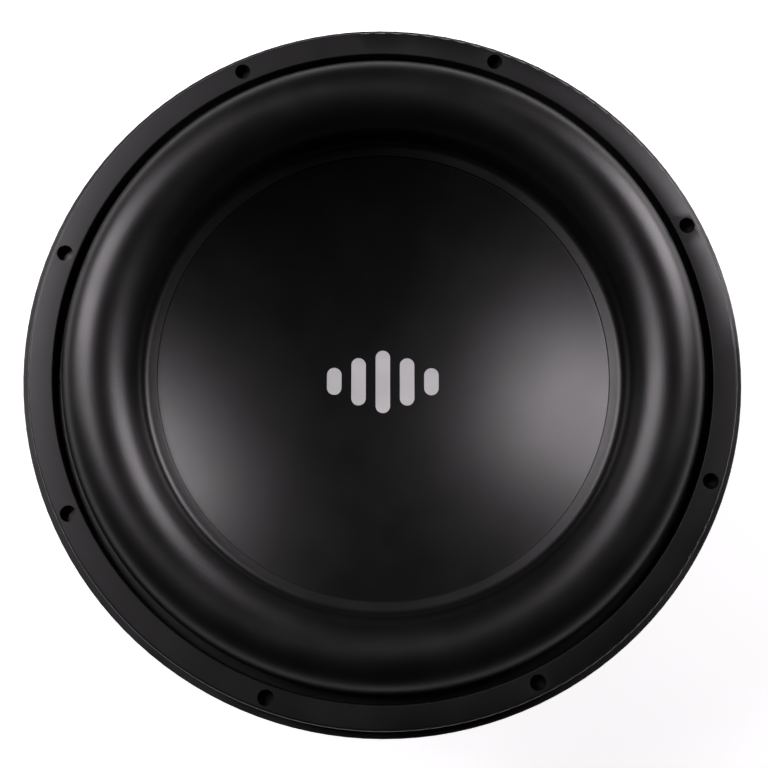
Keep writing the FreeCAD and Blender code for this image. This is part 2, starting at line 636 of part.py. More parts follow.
def terminal_button(side):
    """A cap on a collar, cross-drilled: the hole meets the housing's wire hole when it is pressed."""
    y = side * BUTTON_PITCH / 2
    out, up = Vector(1, 0, 0), Vector(0, 0, 1)
    front = Vector(HOUSING_FACE - HOUSING_FRONT - SEAT_GAP, y, TERMINAL_MID)
    tip_x = HOUSING_FACE + BUTTON_STAND
    collar = rod(BUTTON_COLLAR_R, front - out * BUTTON_COLLAR_L, out, BUTTON_COLLAR_L)
    cap = rod(BUTTON_R, front, out, tip_x - front.x)
    cap = cap.makeFillet(BUTTON_ROUND, [e for e in cap.Edges if e.BoundBox.XMin > tip_x - 1e-3])
    hole_x = wire_hole_x() + BUTTON_TRAVEL
    hole = rod(WIRE_HOLE_R, Vector(hole_x, y, TERMINAL_MID - 2 * BUTTON_COLLAR_R), up, 4 * BUTTON_COLLAR_R)
    return collar.fuse(cap).cut(hole)


def terminal_spring(side):
    """A compression spring between the brass strip and the back of the button's collar."""
    first = BOARD_FACE + STRIP_T + SPRING_WIRE_R + GLUE_GAP
    last = HOUSING_FACE - HOUSING_FRONT - SEAT_GAP - BUTTON_COLLAR_L - SPRING_WIRE_R - SEAT_GAP
    height = last - first
    helix = Part.makeHelix(height / SPRING_TURNS, height, SPRING_R)
    corners = []
    for i in range(SPRING_FLATS + 1):
        turn = 2 * math.pi * (i + 0.5) / SPRING_FLATS
        corners.append(point(SPRING_R + SPRING_WIRE_R * math.cos(turn), SPRING_WIRE_R * math.sin(turn)))
    section = Part.Wire(Part.makePolygon(corners))
    spring = Part.Wire(helix).makePipeShell([section], True, True)
    spring.rotate(Vector(0, 0, 0), Vector(0, 1, 0), 90)
    spring.translate(Vector(first, side * BUTTON_PITCH / 2, TERMINAL_MID))
    return spring


def terminal_screws():
    out = Vector(1, 0, 0)
    screws = []
    for angle in TERMINAL_ANGLES.values():
        for place in terminal_screw_places():
            seat = place + out * (BOARD_FACE + EAR_T)
            shank = rod(TERMINAL_SCREW_R, seat - out * TERMINAL_SCREW_L, out, TERMINAL_SCREW_L)
            head = rod(TERMINAL_HEAD_R, seat, out, TERMINAL_HEAD_H)
            socket = rod(TERMINAL_HEAD_R / 3, seat + out * (TERMINAL_HEAD_H / 2), out, TERMINAL_HEAD_H)
            screws.append(turned(shank.fuse(head).cut(socket), angle))
    return Part.makeCompound(screws)


# ---- tinsel leads ----


def lead_route():
    """Points (x, z) from the solder tab, up over the basket's lower wall and down to the eyelet."""
    tab_x = BOARD_FACE + STRIP_T + LEAD_R + GLUE_GAP
    tab_z = TERMINAL_TOP + LEAD_R
    pin_start = math.sqrt(COLLAR_R ** 2 - (BUTTON_PITCH / 2) ** 2) - COLLAR_WALL / 2
    pin_x = pin_start + EYELET_L + EYELET_GAP
    pin_z = NECK_Z - EYELET_DROP
    span = tab_x - pin_x
    return [
        (tab_x, tab_z), (tab_x, tab_z + LEAD_RISE), (tab_x - 0.07 * span, tab_z + 20.0),
        (tab_x - 0.21 * span, pin_z + 9.0), (tab_x - 0.37 * span, pin_z + 6.5),
        (tab_x - 0.52 * span, pin_z + 2.5),
        (tab_x - 0.68 * span, pin_z + 5.5), (tab_x - 0.83 * span, pin_z + 4.5),
        (tab_x - 0.92 * span, pin_z + 1.0), (pin_x, pin_z),
    ]


def tinsel_lead(side):
    """A braided lead: straight runs joined by tangent arcs, as wide as the runs allow."""
    places = [Vector(x, side * BUTTON_PITCH / 2, z) for x, z in lead_route()]
    edges = []
    last_end = places[0]
    radii = []
    for before, here, after in zip(places, places[1:], places[2:]):
        to_last, to_next = (before - here), (after - here)
        reach = LEAD_BEND * min(to_last.Length, to_next.Length)
        a, b = here + to_last.normalize() * reach, here + to_next.normalize() * reach
        half = to_last.getAngle(to_next) / 2
        radius = reach * math.tan(half)
        radii.append(radius)
        middle = here + (to_last + to_next).normalize() * (radius / math.sin(half) - radius)
        edges.append(line(last_end, a))
        edges.append(Part.Arc(a, middle, b).toShape())
        last_end = b
    edges.append(line(last_end, places[-1]))
    path = Part.Wire(edges)
    section = Part.Wire(Part.makeCircle(LEAD_R, places[0], places[1] - places[0]))
    lead = path.makePipeShell([section], True, False)
    ratio = lead.Volume / (math.pi * LEAD_R ** 2 * path.Length)
    print("lead: length %.1f, volume ratio %.4f" % (path.Length, ratio))
    print("bend radii", [round(r, 1) for r in radii])
    return lead


def build():
    nodes = {
        "basket": basket(),
        "basket_screws": basket_screws(),
        "gasket_ring": gasket_ring(),
        "surround": surround(),
        "dish": dish(),
        "cone_body": cone_body(),
        "coil_former": coil_former(),
        "voice_coil_inner": voice_coil(0),
        "voice_coil_outer": voice_coil(1),
        "coil_collar": coil_collar(),
        "lead_eyelets": lead_eyelets(),
        "upper_spider": spider(UPPER_SPIDER_Z),
        "lower_spider": spider(LOWER_SPIDER_Z),
        "spider_spacer": spider_spacer(),
        "top_plate": top_plate(),
        "front_magnet": magnet(PLATE_BOTTOM),
        "rear_magnet": magnet(PLATE_BOTTOM - MAGNET_T),
        "pole_and_back_plate": yoke(),
        "shorting_ring": shorting_ring(),
        "rear_vent_screen": rear_vent_screen(),
        "magnet_boot": magnet_boot(),
        "terminal_screws": terminal_screws(),
    }
    for coil, angle in TERMINAL_ANGLES.items():
        nodes["terminal_board_" + coil] = turned(terminal_board(), angle)
        nodes["terminal_strips_" + coil] = turned(terminal_strips(), angle)
        nodes["terminal_housing_" + coil] = turned(terminal_housing(), angle)
        for pole, side in POLE_SIDES.items():
            nodes["button_%s_%s" % (pole, coil)] = turned(terminal_button(side), angle)
            nodes["button_spring_%s_%s" % (pole, coil)] = turned(terminal_spring(side), angle)
            nodes["tinsel_lead_%s_%s" % (pole, coil)] = turned(tinsel_lead(side), angle)
    return nodes


os.makedirs("parts", exist_ok=True)
for node, shape in build().items():
    if not shape.isValid() or shape.Volume <= 0:
        print("not sound: " + node)
    shape.exportStep("parts/" + node + ".step")
print("base at z %.1f, crest at z %.1f" % (BASE_Z, CREST_Z))
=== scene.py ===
import math

import bmesh
import bpy
from mathutils import Matrix, Vector


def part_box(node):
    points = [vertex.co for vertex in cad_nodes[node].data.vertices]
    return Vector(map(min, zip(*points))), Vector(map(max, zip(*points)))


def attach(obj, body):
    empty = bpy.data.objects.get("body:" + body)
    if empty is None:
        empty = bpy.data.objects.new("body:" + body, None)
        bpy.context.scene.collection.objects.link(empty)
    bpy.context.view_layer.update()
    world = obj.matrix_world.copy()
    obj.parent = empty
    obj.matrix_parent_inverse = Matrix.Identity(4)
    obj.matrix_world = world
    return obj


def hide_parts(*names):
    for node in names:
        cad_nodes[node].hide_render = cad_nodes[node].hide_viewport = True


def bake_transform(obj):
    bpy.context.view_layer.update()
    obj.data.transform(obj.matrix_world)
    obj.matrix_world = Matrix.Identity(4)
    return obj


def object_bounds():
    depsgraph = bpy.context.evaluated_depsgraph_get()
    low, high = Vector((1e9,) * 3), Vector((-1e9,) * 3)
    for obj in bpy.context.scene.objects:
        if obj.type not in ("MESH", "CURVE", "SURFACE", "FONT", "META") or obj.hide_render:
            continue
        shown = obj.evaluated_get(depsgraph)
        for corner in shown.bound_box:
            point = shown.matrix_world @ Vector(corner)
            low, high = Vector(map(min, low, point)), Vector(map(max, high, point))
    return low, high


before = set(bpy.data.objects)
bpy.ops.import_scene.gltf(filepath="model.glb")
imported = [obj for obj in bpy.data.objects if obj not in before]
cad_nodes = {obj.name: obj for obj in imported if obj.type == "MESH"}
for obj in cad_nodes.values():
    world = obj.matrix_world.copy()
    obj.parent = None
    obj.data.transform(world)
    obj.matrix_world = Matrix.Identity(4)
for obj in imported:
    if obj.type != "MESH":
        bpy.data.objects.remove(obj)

cad_low, cad_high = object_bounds()

# ---------------------------------------------------------------------------------------------
# Back plate and pole. One low-carbon steel forging, turned on its faces and dipped in black
# electrophoretic coat. The magnets, the shorting ring and the boot are stacked on it.
# ---------------------------------------------------------------------------------------------


def finish_of(name, colour, roughness, metallic=0.0, specular=0.5):
    """A new material with one Principled shader. Even values are set on its own sockets."""
    material = bpy.data.materials.new(name)
    material.use_nodes = True
    shader = material.node_tree.nodes["Principled BSDF"]
    shader.inputs["Base Color"].default_value = (*colour, 1.0)
    shader.inputs["Roughness"].default_value = roughness
    shader.inputs["Metallic"].default_value = metallic
    shader.inputs["Specular IOR Level"].default_value = specular
    return material


def wire(material, source, out_name, target, in_name):
    material.node_tree.links.new(source.outputs[out_name], target.inputs[in_name])


def add(material, kind, **values):
    """A node with its settings and input values."""
    node = material.node_tree.nodes.new(kind)
    for key, value in values.items():
        if hasattr(node, key):
            setattr(node, key, value)
        else:
            node.inputs[key.replace("_", " ")].default_value = value
    return node


def grain(material, size, depth, rough_low, rough_high, uneven=0.15, detail=4.0, stretch=(1.0, 1.0, 1.0)):
    """Fine relief of one size, and a slow drift in the gloss and the colour, from Object coordinates."""
    shader = material.node_tree.nodes["Principled BSDF"]
    place = add(material, "ShaderNodeTexCoord")
    mapping = add(material, "ShaderNodeMapping", Scale=stretch)
    fine = add(material, "ShaderNodeTexNoise", Scale=1.0 / size, Detail=detail, Roughness=0.6)
    wire(material, place, "Object", mapping, "Vector")
    wire(material, mapping, "Vector", fine, "Vector")
    bump = add(material, "ShaderNodeBump", Strength=1.0, Distance=depth)
    wire(material, fine, "Fac", bump, "Height")
    wire(material, bump, "Normal", shader, "Normal")
    cloud = add(material, "ShaderNodeTexNoise", Scale=0.03 / size, Detail=3.0)
    wire(material, mapping, "Vector", cloud, "Vector")
    spread = add(
        material, "ShaderNodeMapRange",
        From_Min=0.3, From_Max=0.7, To_Min=rough_low, To_Max=rough_high)
    wire(material, cloud, "Fac", spread, "Value")
    wire(material, spread, "Result", shader, "Roughness")
    tint = add(material, "ShaderNodeValToRGB")
    base = shader.inputs["Base Color"].default_value
    for stop, share in zip(tint.color_ramp.elements, (1.0 - uneven, 1.0 + uneven)):
        stop.color = (base[0] * share, base[1] * share, base[2] * share, 1.0)
    tint.color_ramp.elements[0].position = 0.35
    tint.color_ramp.elements[1].position = 0.65
    wire(material, cloud, "Fac", tint, "Fac")
    wire(material, tint, "Color", shader, "Base Color")
    return bump


def tool_marks(material, bump, pitch, depth):
    """Circular marks round the axis, as a lathe leaves them, under the material's own grain."""
    place = add(material, "ShaderNodeTexCoord")
    flat = add(material, "ShaderNodeVectorMath", operation="MULTIPLY")
    flat.inputs[1].default_value = (1.0, 1.0, 0.0)
    distance = add(material, "ShaderNodeVectorMath", operation="LENGTH")
    marks = add(material, "ShaderNodeTexNoise", noise_dimensions="1D", Scale=1.0 / pitch, Detail=2.0)
    under = add(material, "ShaderNodeBump", Strength=1.0, Distance=depth)
    wire(material, place, "Object", flat, "Vector")
    wire(material, flat, "Vector", distance, "Vector")
    wire(material, distance, "Value", marks, "W")
    wire(material, marks, "Fac", under, "Height")
    wire(material, under, "Normal", bump, "Normal")


def smooth_by_angle(node, degrees):
    """Welds a CAD node's loose triangles and shades it smooth up to an angle, without moving it."""
    tree = bpy.data.node_groups.get("smooth_by_angle")
    if tree is None:
        tree = bpy.data.node_groups.new("smooth_by_angle", "GeometryNodeTree")
        tree.interface.new_socket("Geometry", in_out="INPUT", socket_type="NodeSocketGeometry")
        tree.interface.new_socket("Angle", in_out="INPUT", socket_type="NodeSocketFloat")
        tree.interface.new_socket("Geometry", in_out="OUTPUT", socket_type="NodeSocketGeometry")
        start, end = tree.nodes.new("NodeGroupInput"), tree.nodes.new("NodeGroupOutput")
        weld = tree.nodes.new("GeometryNodeMergeByDistance")
        weld.inputs["Distance"].default_value = 0.000002
        edge_angle = tree.nodes.new("GeometryNodeInputMeshEdgeAngle")
        gentle = tree.nodes.new("FunctionNodeCompare")
        gentle.operation = "LESS_THAN"
        faces = tree.nodes.new("GeometryNodeSetShadeSmooth")
        faces.domain = "FACE"
        edges = tree.nodes.new("GeometryNodeSetShadeSmooth")
        edges.domain = "EDGE"
        link = tree.links.new
        link(start.outputs["Geometry"], weld.inputs["Geometry"])
        link(weld.outputs["Geometry"], faces.inputs["Geometry"])
        link(faces.outputs["Geometry"], edges.inputs["Geometry"])
        link(edge_angle.outputs["Unsigned Angle"], gentle.inputs["A"])
        link(start.outputs["Angle"], gentle.inputs["B"])
        link(gentle.outputs["Result"], edges.inputs["Shade Smooth"])
        link(edges.outputs["Geometry"], end.inputs["Geometry"])
    modifier = node.modifiers.new("smooth_by_angle", "NODES")
    modifier.node_group = tree
    modifier[socket_of(tree, "Angle")] = math.radians(degrees)


def socket_of(tree, label):
    """The identifier of a node group's named input."""
    sockets = [item for item in tree.interface.items_tree if item.in_out == "INPUT"]
    return next(item.identifier for item in sockets if item.name == label)


def dress(name, material, degrees=32.0):
    """Gives a CAD node its finish and its smooth shading."""
    node = cad_nodes[name]
    node.data.materials.clear()
    node.data.materials.append(material)
    smooth_by_angle(node, degrees)


black_coat = finish_of("black_electrophoretic_coat", (0.016, 0.016, 0.017), 0.42)
tool_marks(black_coat, grain(black_coat, 0.0011, 0.00001, 0.34, 0.5), 0.0006, 0.00002)
dress("pole_and_back_plate", black_coat)

# ---------------------------------------------------------------------------------------------
# Shorting ring: a turned aluminium ring round the foot of the pole, a press fit in the magnet's
# bore. It keeps the fine circular tool marks of the lathe.
# ---------------------------------------------------------------------------------------------

turned_aluminium = finish_of("turned_aluminium", (0.72, 0.72, 0.73), 0.3, metallic=1.0)
tool_marks(turned_aluminium, grain(turned_aluminium, 0.0008, 0.000005, 0.22, 0.38), 0.0004, 0.00003)
dress("shorting_ring", turned_aluminium)

# ---------------------------------------------------------------------------------------------
# Magnets: two sintered ferrite rings, dark grey and faintly grainy, ground flat and glued to
# each other and to the plates.
# ---------------------------------------------------------------------------------------------

ferrite = finish_of("sintered_ferrite", (0.05, 0.05, 0.053), 0.55, metallic=0.2)
grain(ferrite, 0.0006, 0.00004, 0.42, 0.68, uneven=0.3, detail=8.0)
for name in ("rear_magnet", "front_magnet"):
    dress(name, ferrite)

# ---------------------------------------------------------------------------------------------
# Top plate: a steel ring with the same black coat, drilled and tapped for the eight screws that
# hold the basket. The voice coil moves in its bore.
# ---------------------------------------------------------------------------------------------

dress("top_plate", black_coat)

# ---------------------------------------------------------------------------------------------
# Rear vent screen: thin punched steel in a recess of the back plate, blackened. It keeps dust
# out of the vent that runs up the pole.
# ---------------------------------------------------------------------------------------------

blackened_sheet = finish_of("blackened_sheet", (0.03, 0.03, 0.032), 0.36, metallic=0.7)
grain(blackened_sheet, 0.0014, 0.00001, 0.28, 0.46, uneven=0.3)
dress("rear_vent_screen", blackened_sheet)

# ---------------------------------------------------------------------------------------------
# Magnet boot: a moulded rubber cover stretched over both magnets and the rim of the back plate.
# Three grooves run round its side, and it is what the driver stands on.
# ---------------------------------------------------------------------------------------------

boot_rubber = finish_of("boot_rubber", (0.013, 0.013, 0.014), 0.58, specular=0.45)
grain(boot_rubber, 0.0009, 0.00004, 0.5, 0.7, uneven=0.25, detail=6.0)
dress("magnet_boot", boot_rubber)

# ---------------------------------------------------------------------------------------------
# Basket: die-cast aluminium with eight ribbed spokes, sprayed with black textured powder. The
# powder lies thick enough to look pebbled up close.
# ---------------------------------------------------------------------------------------------

powder = finish_of("black_textured_powder", (0.012, 0.012, 0.013), 0.5, specular=0.3)
grain(powder, 0.0008, 0.0001, 0.38, 0.54, uneven=0.2, detail=2.0)
dress("basket", powder, 52.0)

# ---------------------------------------------------------------------------------------------
# Basket screws: eight M5 cap screws in black zinc, from the basket's floor into the top plate.
# ---------------------------------------------------------------------------------------------

black_zinc = finish_of("black_zinc", (0.04, 0.04, 0.043), 0.3, metallic=0.9)
grain(black_zinc, 0.0009, 0.000008, 0.22, 0.4, uneven=0.25)
dress("basket_screws", black_zinc)

# ---------------------------------------------------------------------------------------------
# Spiders: two discs of woven cotton dipped in phenolic resin and pressed into rings of waves.
# Their flat outer edge is glued in the basket, with a moulded spacer between them, and their
# flat neck on the voice coil's collar.
# ---------------------------------------------------------------------------------------------

STILL, MOVING = "basket_and_motor", "cone_and_coil"
edge_round = 0.0003


def reach(name):
    """Smallest and largest distance from the axis of a CAD node's points."""
    radii = [math.hypot(v.co.x, v.co.y) for v in cad_nodes[name].data.vertices]
    return min(radii), max(radii)


def eased(outline, radius):
    """The outline with each sharp corner broken by a small round."""
    points = []
    for i, (r, z) in enumerate(outline):
        here = Vector((r, z))
        back = Vector(outline[i - 1]) - here
        ahead = Vector(outline[(i + 1) % len(outline)]) - here
        too_short = back.length < 1e-9 or ahead.length < 1e-9
        if r < 1e-7 or too_short or abs(math.pi - back.angle(ahead)) < 0.45:
            points.append((r, z))
            continue
        cut = min(radius, back.length * 0.45, ahead.length * 0.45)
        start, end = here + back.normalized() * cut, here + ahead.normalized() * cut
        for t in (0.0, 0.25, 0.5, 0.75, 1.0):
            spot = start * (1 - t) ** 2 + here * 2 * t * (1 - t) + end * t ** 2
            points.append((spot.x, spot.y))
    return points


def lathe(name, outline, sides, material):
    """Turns a closed outline of (radius, height) points round the axis. On the axis they are one."""
    outline = eased(outline, edge_round)
    verts, faces, rings = [], [], []
    for radius, height in outline:
        if radius < 1e-7:
            rings.append([len(verts)] * sides)
            verts.append((0.0, 0.0, height))
            continue
        rings.append(list(range(len(verts), len(verts) + sides)))
        for k in range(sides):
            turn = 2 * math.pi * k / sides
            verts.append((radius * math.cos(turn), radius * math.sin(turn), height))
    for low, high in zip(rings, rings[1:] + rings[:1]):
        for k in range(sides):
            n = (k + 1) % sides
            corners = list(dict.fromkeys((low[k], low[n], high[n], high[k])))
            if len(corners) > 2:
                faces.append(corners)
    return solid(name, verts, faces, material)


def solid(name, verts, faces, material, smooth=True):
    """A new piece from points and faces, with its normals outwards."""
    mesh = bpy.data.meshes.new(name)
    mesh.from_pydata(verts, [], faces)
    shape = bmesh.new()
    shape.from_mesh(mesh)
    bmesh.ops.remove_doubles(shape, verts=shape.verts, dist=1e-7)
    bmesh.ops.recalc_face_normals(shape, faces=shape.faces)
    shape.to_mesh(mesh)
    shape.free()
    if smooth:
        mesh.shade_smooth()
    return piece_of(name, mesh, material)


def piece_of(name, mesh, material):
    """A new piece from a mesh, with one material."""
    mesh.materials.clear()
    mesh.materials.append(material)
    piece = bpy.data.objects.new(name, mesh)
    bpy.context.scene.collection.objects.link(piece)
    return piece


def flex_radially(piece, still_r, moving_r):
    """Bakes a round piece's transform and works out each point's share from the basket to the cone by its
    distance from the axis; the share is not kept.
    """
    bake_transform(piece)
    for v in piece.data.vertices:
        t = (math.hypot(v.co.x, v.co.y) - still_r) / (moving_r - still_r)
        t = min(1.0, max(0.0, t))


spider_cloth = finish_of("spider_cloth", (0.02, 0.02, 0.024), 0.75, specular=0.3)
weave = grain(spider_cloth, 0.0008, 0.00003, 0.62, 0.85, uneven=0.3)
thread_places = add(spider_cloth, "ShaderNodeTexCoord")
threads = []
for direction in ("X", "Y"):
    thread = add(spider_cloth, "ShaderNodeTexWave", bands_direction=direction, Scale=280.0, Distortion=1.0)
    wire(spider_cloth, thread_places, "Object", thread, "Vector")
    threads.append(thread)
crossing = add(spider_cloth, "ShaderNodeMath", operation="MAXIMUM")
spider_cloth.node_tree.links.new(threads[0].outputs["Fac"], crossing.inputs[0])
spider_cloth.node_tree.links.new(threads[1].outputs["Fac"], crossing.inputs[1])
raised = add(spider_cloth, "ShaderNodeBump", Strength=1.0, Distance=0.00012)
wire(spider_cloth, crossing, "Value", raised, "Height")
wire(spider_cloth, raised, "Normal", weave, "Normal")

spider_t, spider_waves, wave_height = 0.0008, 6, 0.0018
spider_neck_w, spider_landing_w = 0.006, 0.008
steps_per_wave, spider_sides = 12, 256
collar_r = reach("coil_collar")[1]
for name in ("upper_spider", "lower_spider"):
    low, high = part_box(name)
    inner_r, outer_r = reach(name)
    middle = (low.z + high.z) / 2
    first, last = collar_r + spider_neck_w, outer_r - spider_landing_w
    step = (last - first) / spider_waves
    bend_r = (step ** 2 / 4 + wave_height ** 2) / (2 * wave_height)
    crown = [(inner_r, 0.0)]
    for i in range(spider_waves):
        side = 1.0 if i % 2 == 0 else -1.0
        for k in range(steps_per_wave):
            off = step * (k / steps_per_wave - 0.5)
            lift = wave_height - bend_r + math.sqrt(bend_r ** 2 - off ** 2)
            crown.append((first + (i + 0.5) * step + off, side * lift))
    crown += [(last, 0.0), (outer_r, 0.0)]
    outline = [(r, middle + z + spider_t / 2) for r, z in crown]
    outline += [(r, middle + z - spider_t / 2) for r, z in reversed(crown)]
    spider = lathe(name + "_cloth", outline, spider_sides, spider_cloth)
    flex_radially(spider, last, first)
    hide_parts(name)

moulded_black = finish_of("moulded_black_nylon", (0.016, 0.016, 0.017), 0.48)
grain(moulded_black, 0.0011, 0.00002, 0.4, 0.56)
dress("spider_spacer", moulded_black)

# ---------------------------------------------------------------------------------------------
# Voice coil: a black glass-fibre former with two windings of enamelled copper, one over the
# other, wound turn by turn, and a moulded collar that the spiders and the cone are glued to.
# ---------------------------------------------------------------------------------------------

black_former = finish_of("glass_fibre_former", (0.04, 0.032, 0.024), 0.4)
grain(black_former, 0.0007, 0.00002, 0.32, 0.5, stretch=(1.0, 1.0, 0.1))
dress("coil_former", black_former)
dress("coil_collar", moulded_black)

enamelled_copper = finish_of("enamelled_copper", (0.5, 0.17, 0.06), 0.26, metallic=0.9)
grain(enamelled_copper, 0.0009, 0.000004, 0.2, 0.34, uneven=0.2)


def wound_wire(turns, coil_radius, length, wire_radius, per_turn, sides, material):
    """A round wire wound into a helix up the Z axis, as a plain mesh."""
    tree = bpy.data.node_groups.new("wound_wire", "GeometryNodeTree")
    tree.interface.new_socket("Geometry", in_out="OUTPUT", socket_type="NodeSocketGeometry")
    values = {"Turns": turns, "Coil Radius": coil_radius, "Length": length, "Wire Radius": wire_radius}
    for label in values:
        tree.interface.new_socket(label, in_out="INPUT", socket_type="NodeSocketFloat")
    start, end = tree.nodes.new("NodeGroupInput"), tree.nodes.new("NodeGroupOutput")
    helix = tree.nodes.new("GeometryNodeCurveSpiral")
    helix.inputs["Resolution"].default_value = per_turn
    section = tree.nodes.new("GeometryNodeCurvePrimitiveCircle")
    section.inputs["Resolution"].default_value = sides
    tube = tree.nodes.new("GeometryNodeCurveToMesh")
    tube.inputs["Fill Caps"].default_value = True
    real = tree.nodes.new("GeometryNodeRealizeInstances")
    coat = tree.nodes.new("GeometryNodeSetMaterial")
    coat.inputs["Material"].default_value = material
    link = tree.links.new
    link(start.outputs["Turns"], helix.inputs["Rotations"])
    link(start.outputs["Coil Radius"], helix.inputs["Start Radius"])
    link(start.outputs["Coil Radius"], helix.inputs["End Radius"])
    link(start.outputs["Length"], helix.inputs["Height"])
    link(start.outputs["Wire Radius"], section.inputs["Radius"])
    link(helix.outputs["Curve"], tube.inputs["Curve"])
    link(section.outputs["Curve"], tube.inputs["Profile Curve"])
    link(tube.outputs["Mesh"], real.inputs["Geometry"])
    link(real.outputs["Geometry"], coat.inputs["Geometry"])
    link(coat.outputs["Geometry"], end.inputs["Geometry"])
    holder = bpy.data.objects.new("winding", bpy.data.meshes.new("winding"))
    bpy.context.scene.collection.objects.link(holder)
    modifier = holder.modifiers.new("wound_wire", "NODES")
    modifier.node_group = tree
    for label, value in values.items():
        modifier[socket_of(tree, label)] = value
    built = holder.evaluated_get(bpy.context.evaluated_depsgraph_get())
    mesh = bpy.data.meshes.new_from_object(built)
    bpy.data.objects.remove(holder)
    bpy.data.node_groups.remove(tree)
    mesh.shade_smooth()
    return mesh


enamel_share = 1.02
for layer in ("inner", "outer"):
    low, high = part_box("voice_coil_" + layer)
    inner_r, outer_r = reach("voice_coil_" + layer)
    wire_r = (outer_r - inner_r) / 2
    length = high.z - low.z - 2 * wire_r
    turns = int(length / (2 * enamel_share * wire_r))
    mesh = wound_wire(turns, inner_r + wire_r, length, wire_r, 96, 8, enamelled_copper)
    mesh.transform(Matrix.Translation((0, 0, low.z + wire_r)))
    winding = piece_of("copper_winding_" + layer, mesh, enamelled_copper)
    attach(winding, MOVING)
    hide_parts("voice_coil_" + layer)

tinned_brass = finish_of("tinned_brass", (0.66, 0.62, 0.53), 0.32, metallic=1.0)
grain(tinned_brass, 0.0011, 0.00001, 0.26, 0.42, uneven=0.2)
dress("lead_eyelets", tinned_brass)

# ---------------------------------------------------------------------------------------------
# Cone body: pressed paper pulp, black right through, with the fibres of the felt showing. It is
# glued under the dish's rim and on the voice coil's collar.
# ---------------------------------------------------------------------------------------------

pulp = finish_of("pressed_pulp", (0.02, 0.019, 0.019), 0.8, specular=0.3)
grain(pulp, 0.0014, 0.00015, 0.72, 0.9, uneven=0.35, detail=8.0)
dress("cone_body", pulp)

# ---------------------------------------------------------------------------------------------
# Dish: one moulded skin, a shallow bowl sprayed satin black, with a faint grain in the spray. A
# flat rim bonds it to the cone, and the surround's lip covers the rim.
# ---------------------------------------------------------------------------------------------

dish_low, dish_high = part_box("dish")
lip_r = reach("surround")[0]
dish_rim_z = dish_high.z
dish_wall = 0.0015
dish_depth = dish_rim_z - dish_low.z - dish_wall
sphere_r = (lip_r ** 2 + dish_depth ** 2) / (2 * dish_depth)


def dish_height(radius):
    """Height of the dish's face at a distance from the axis."""
    return dish_rim_z - dish_depth + sphere_r - math.sqrt(sphere_r ** 2 - radius ** 2)


dish_rings = 56
face = [(lip_r * k / dish_rings, dish_height(lip_r * k / dish_rings)) for k in range(dish_rings + 1)]
rim = [(dish_high.x, dish_rim_z), (dish_high.x, dish_rim_z - dish_wall)]
rim.append((lip_r + 0.001, dish_rim_z - dish_wall))
back = [(r, z - dish_wall) for r, z in reversed(face[:-1])]
satin_dish = finish_of("satin_black_dish", (0.0012, 0.0012, 0.0013), 0.32)
grain(satin_dish, 0.0008, 0.000028, 0.30, 0.33, detail=6.0)
dish = lathe("dish_skin", face + rim + back, 288, satin_dish)
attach(dish, MOVING)
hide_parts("dish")

# ---------------------------------------------------------------------------------------------
# Print: five level bars in light grey ink on the middle of the dish, screen printed, so they
# are flat and follow the bowl.
# ---------------------------------------------------------------------------------------------

mark_turn = Matrix.Rotation(math.radians(-3.0), 3, "Z")
bar_width, bar_pitch, ink_t = 0.0085, 0.0142, 0.00012
bar_heights = (0.016, 0.028, 0.037, 0.028, 0.016)
ink = finish_of("light_grey_ink", (0.55, 0.56, 0.56), 0.55)
grain(ink, 0.0005, 0.000008, 0.5, 0.62, uneven=0.04)
across, round_steps = 6, 10
verts, faces = [], []
for place, height in enumerate(bar_heights):
    centre_x = (place - (len(bar_heights) - 1) / 2) * bar_pitch
    rows = []
    for k in range(round_steps + 1):
        lean = math.pi / 2 * (k / round_steps - 1)
        rows.append((bar_width / 2 * (1 + math.sin(lean)) - height / 2, bar_width / 2 * math.cos(lean)))
    rows += [(-y, half) for y, half in reversed(rows)]
    first = len(verts)
    for layer in (ink_t, ink_t / 6):
        for y, half in rows:
            for c in range(across + 1):
                x = centre_x + half * (2 * c / across - 1)
                spot = mark_turn @ Vector((x, y, 0.0))
                verts.append((spot.x, spot.y, dish_height(math.hypot(x, y)) + layer))
    width, sheet = across + 1, len(rows) * (across + 1)
    for j in range(len(rows) - 1):
        for c in range(across):
            a = first + j * width + c
            faces.append([a, a + 1, a + width + 1, a + width])
            faces.append([a + sheet, a + sheet + 1, a + sheet + width + 1, a + sheet + width])
        for c in (0, across):
            a = first + j * width + c
            faces.append([a, a + width, a + width + sheet, a + sheet])
print_bars = solid("level_bars_print", verts, faces, ink, smooth=False)
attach(print_bars, MOVING)

# ---------------------------------------------------------------------------------------------
# Surround: a high roll of black foam with a smooth satin skin. Its inner lip is bonded on the
# dish's rim, and its outer lip lies under the gasket ring.
# ---------------------------------------------------------------------------------------------

roll_t, lip_t, lip_foot_t, lip_w = 0.0026, 0.0015, 0.0041, 0.00725
roll_gap, roll_outer_w, roll_outer_rise = 0.0049, 0.01915, 0.018
surround_low, surround_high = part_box("surround")
gasket_low, gasket_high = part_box("gasket_ring")
landing_z, crest_z = gasket_low.z, surround_high.z
outer_lip_t = 0.0012
flange_top = landing_z - outer_lip_t
roll_inner, roll_outer = lip_r + lip_w, reach("gasket_ring")[0] - roll_gap
crest_r = roll_outer - roll_outer_w


def roll_arch(wall, foot_in, foot_out, steps):
    """The roll's section, one wall inside its outer skin: two legs and two quarter arches."""
    points = [(roll_inner + wall, foot_in)]
    for k in range(steps + 1):
        turn = math.pi * k / steps
        inside = turn <= math.pi / 2
        across = (crest_r - roll_inner if inside else roll_outer_w) - wall
        rise = (crest_r - roll_inner if inside else roll_outer_rise) - wall
        points.append((crest_r - across * math.cos(turn), crest_z - wall - rise * (1 - math.sin(turn))))
    return points + [(roll_outer - wall, foot_out)]


